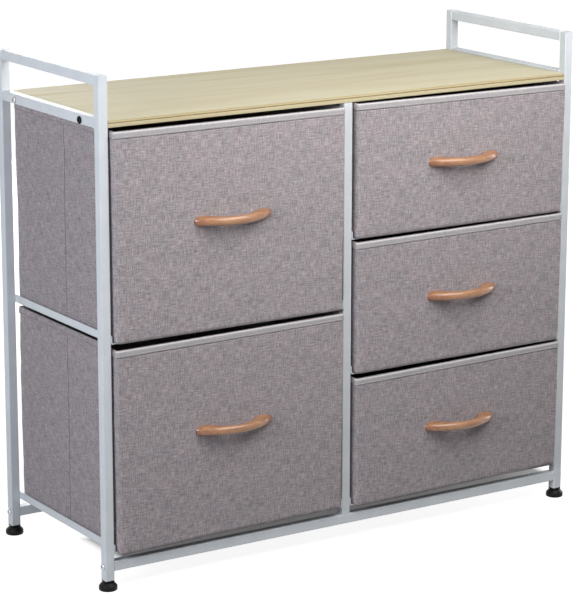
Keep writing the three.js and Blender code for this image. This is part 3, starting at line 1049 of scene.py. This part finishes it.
def board_nose():
    """Section of the board's front from its underside up: (how far in from the face, height)."""
    thickness = board_high.z - board_low.z
    groove = thickness - BOARD_GROOVE_DROP
    section = []
    for step in range(BOARD_UNDER_STEPS + 1):
        turn = math.radians(90 * step / BOARD_UNDER_STEPS)
        section.append((BOARD_UNDER_ROUND * (1 - math.sin(turn)), BOARD_UNDER_ROUND * (1 - math.cos(turn))))
    section += [(0.0, groove - BOARD_GROOVE_HALF), (BOARD_GROOVE_DEPTH, groove - BOARD_GROOVE_HALF / 3)]
    section.append((BOARD_GROOVE_DEPTH, groove + BOARD_GROOVE_HALF / 3))
    section.append((BOARD_GROOVE_LIP, groove + BOARD_GROOVE_HALF))
    for step in range(BOARD_TOP_STEPS + 1):
        turn = math.radians(90 * step / BOARD_TOP_STEPS)
        inset = BOARD_TOP_ROUND * (1 - math.cos(turn))
        section.append((inset, thickness - BOARD_TOP_ROUND * (1 - math.sin(turn))))
    return section


def dressed_board():
    """The top board, its long edges rounded over and grooved, its ends lightly eased."""
    low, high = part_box("top_board")
    nose = board_nose()
    loop = [(low.y + inset, low.z + rise) for inset, rise in nose]
    loop += [(high.y - inset, low.z + rise) for inset, rise in reversed(nose)]
    centre = (low.y + high.y) / 2
    middle = (low.z + high.z) / 2
    points = []
    for x, eased in ((low.x, 1), (low.x + BOARD_END_ROUND, 0), (high.x - BOARD_END_ROUND, 0), (high.x, 1)):
        for y, z in loop:
            inward_y = math.copysign(BOARD_END_ROUND, centre - y) * eased
            inward_z = math.copysign(BOARD_END_ROUND, middle - z) * eased
            points.append((x, y + inward_y, z + inward_z))
    faces = capped_faces(4, len(loop))
    piece = mesh_piece("board", points, faces, [MAPLE], "frame")
    sharpen(piece, BOARD_CREASE)
    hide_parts("top_board")


def weld_bead(node, end):
    """Painted weld bead round the end of a square tube, where it meets a post."""
    low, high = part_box(node)
    y = low.y if end < 0 else high.y
    centre = Vector(((low.x + high.x) / 2, (low.z + high.z) / 2))
    half = (high.z - low.z) / 2 - TUBE_CORNER
    path = []
    for quarter, (x, z) in enumerate(((1, 1), (-1, 1), (-1, -1), (1, -1))):
        for step in range(WELD_STEPS // 4):
            turn = math.radians(90 * quarter + 90 * step / (WELD_STEPS // 4 - 1))
            normal = Vector((math.cos(turn), math.sin(turn)))
            path.append((centre + Vector((x, z)) * half + TUBE_CORNER * normal, normal))
    points = []
    for spot, normal in path:
        ripple = noise.noise(Vector((spot.x * WELD_RIPPLES, y, spot.y * WELD_RIPPLES)))
        bead = WELD_RADIUS * (1 + WELD_UNEVENNESS * ripple)
        for turn in full_turn(WELD_SIDES):
            around = spot + normal * bead * math.cos(turn)
            points.append((around.x, y + bead * math.sin(turn), around.y))
    faces = grid_faces(len(path), WELD_SIDES)
    last = len(points) - WELD_SIDES
    for side in range(WELD_SIDES):
        following = (side + 1) % WELD_SIDES
        faces.append((last + side, last + following, following, side))
    name = f"weld_{node}_{'front' if end < 0 else 'rear'}"
    mesh_piece(name, points, faces, [STEEL], "frame")


BIN_TITLES = ["left_bottom", "left_top", "right_bottom", "right_middle", "right_top"]
for number, title in enumerate(BIN_TITLES):
    drawer = Bin(title, 10.0 * number + 1)
    cloth_shell(drawer)
    binding(drawer)
    stitches(drawer)
    front_seam(drawer)
    upright_seams(drawer)
    bow_handle(drawer)

dressed_board()
for depth in ("front", "rear"):
    for side in ("left", "right"):
        corner = f"{depth}_{side}"
        foot_pad(corner)
        end_fastener(f"rail_bolt_{corner}", ZINC, "zinc")
        screw_finish = (BLACK, "black_plastic") if depth == "front" else (ZINC, "zinc")
        end_fastener(f"board_screw_{corner}", *screw_finish)
for rail in ("end_rail", "handrail"):
    for side in ("left", "right"):
        for end in (-1, 1):
            weld_bead(f"{rail}_{side}", end)


# Camera, floor and light

def camera_axes():
    forward = Vector((math.sin(-YAW) * math.cos(PITCH), math.cos(YAW) * math.cos(PITCH), math.sin(PITCH)))
    right = forward.cross(Vector((0, 0, 1))).normalized()
    up = right.cross(forward)
    tilted_right = math.cos(ROLL) * right + math.sin(ROLL) * up
    tilted_up = math.cos(ROLL) * up - math.sin(ROLL) * right
    return forward, tilted_right, tilted_up


def add_camera():
    """The photograph's viewpoint. It was fitted to the frame's posts, so Y is measured from their middle."""
    forward, right, up = camera_axes()
    front_low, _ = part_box("post_front_left")
    _, rear_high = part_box("post_rear_left")
    frame_middle = (front_low.y + rear_high.y) / 2
    data = bpy.data.cameras.new("camera")
    data.sensor_width = SENSOR
    data.lens = FOCAL_PIXELS / PICTURE_SIDE * SENSOR
    data.clip_end = CLIP_END
    camera = add_object("camera", data)
    camera.matrix_world = Matrix((right, up, -forward)).transposed().to_4x4()
    camera.location = EYE + Vector((0, frame_middle, 0))
    bpy.context.scene.camera = camera


def add_area_light(name, place, target, size, power, colour):
    data = bpy.data.lights.new(name, "AREA")
    data.shape = "SQUARE"
    data.size = size
    data.energy = power
    data.color = colour
    lamp = add_object(name, data)
    lamp.location = place
    lamp.rotation_euler = (Vector(target) - Vector(place)).to_track_quat("-Z", "Y").to_euler()


def seen_directly(tree):
    """1 for rays from the camera, a reflection or a transmission, and 0 for light that falls on things."""
    path = tree.nodes.new("ShaderNodeLightPath")
    seen = math_node(tree, "MAXIMUM", path.outputs["Is Camera Ray"], path.outputs["Is Glossy Ray"])
    return math_node(tree, "MAXIMUM", seen, path.outputs["Is Transmission Ray"])


def rising(tree, value, start, end):
    """0 up to a start, rising smoothly to 1 at an end."""
    node = tree.nodes.new("ShaderNodeMapRange")
    node.interpolation_type = "SMOOTHSTEP"
    feed(tree, node, {"Value": value, "From Min": start, "From Max": end})
    return node.outputs["Result"]


def outside(tree, value, middle, gap):
    """0 within a distance of a middle, rising smoothly to 1 beyond it."""
    distance = math_node(tree, "ABSOLUTE", math_node(tree, "SUBTRACT", value, middle))
    return rising(tree, distance, gap, gap + PAINTED_SHADOW_EDGE)


def far_off(tree, place):
    """0 on the floor round the object, rising to 1 away from it."""
    node = tree.nodes.new("ShaderNodeVectorMath")
    node.operation = "LENGTH"
    tree.links.new(place, node.inputs[0])
    return rising(tree, node.outputs["Value"], FAR_FROM, FAR_TO)


def pale_floor(tree):
    """Looks white round the object and keeps its shadow, and has a painted shadow: its glow is dimmed in a
    strip right under it.
    """
    place = coordinates(tree, "Object")
    across = outside(tree, component(tree, place, 0), PAINTED_SHADOW_MIDDLE_X, PAINTED_SHADOW_HALF_X)
    along = outside(tree, component(tree, place, 1), PAINTED_SHADOW_MIDDLE_Y, PAINTED_SHADOW_HALF_Y)
    # Painted shadow: outside the strip the glow is full, inside it drops to a low level.
    clear = math_node(tree, "MAXIMUM", math_node(tree, "MAXIMUM", across, along), PAINTED_SHADOW_GLOW)
    glow = math_node(tree, "ADD", FLOOR_GLOW, math_node(tree, "MULTIPLY", far_off(tree, place), FAR_GLOW))
    seen = math_node(tree, "MULTIPLY", clear, seen_directly(tree))
    return {
        "Base Color": linear(150, 150, 151),
        "Roughness": 0.9,
        "Specular IOR Level": 0.1,
        "Emission Color": WHITE,
        "Emission Strength": math_node(tree, "MULTIPLY", seen, glow),
    }


def add_floor():
    mesh = bpy.data.meshes.new("floor")
    corners = [(x * FLOOR_REACH, y * FLOOR_REACH, 0) for x, y in ((-1, -1), (1, -1), (1, 1), (-1, 1))]
    mesh.from_pydata(corners, [], [(0, 1, 2, 3)])
    mesh.materials.append(new_material("floor_pale", pale_floor))
    add_object("floor", mesh)


def add_world():
    """Soft grey light all round, seen as white by the camera and by reflections."""
    world = bpy.data.worlds.new("studio")
    bpy.context.scene.world = world
    world.use_nodes = True
    tree = world.node_tree
    strength = math_node(tree, "MULTIPLY", seen_directly(tree), 1.0 - WORLD_LIGHT)
    strength = math_node(tree, "ADD", strength, WORLD_LIGHT)
    feed(tree, tree.nodes["Background"], {"Color": WHITE, "Strength": strength})


add_camera()
add_floor()
add_world()
for lamp in LAMPS:
    add_area_light(*lamp)

bpy.context.scene.view_settings.view_transform = "Standard"
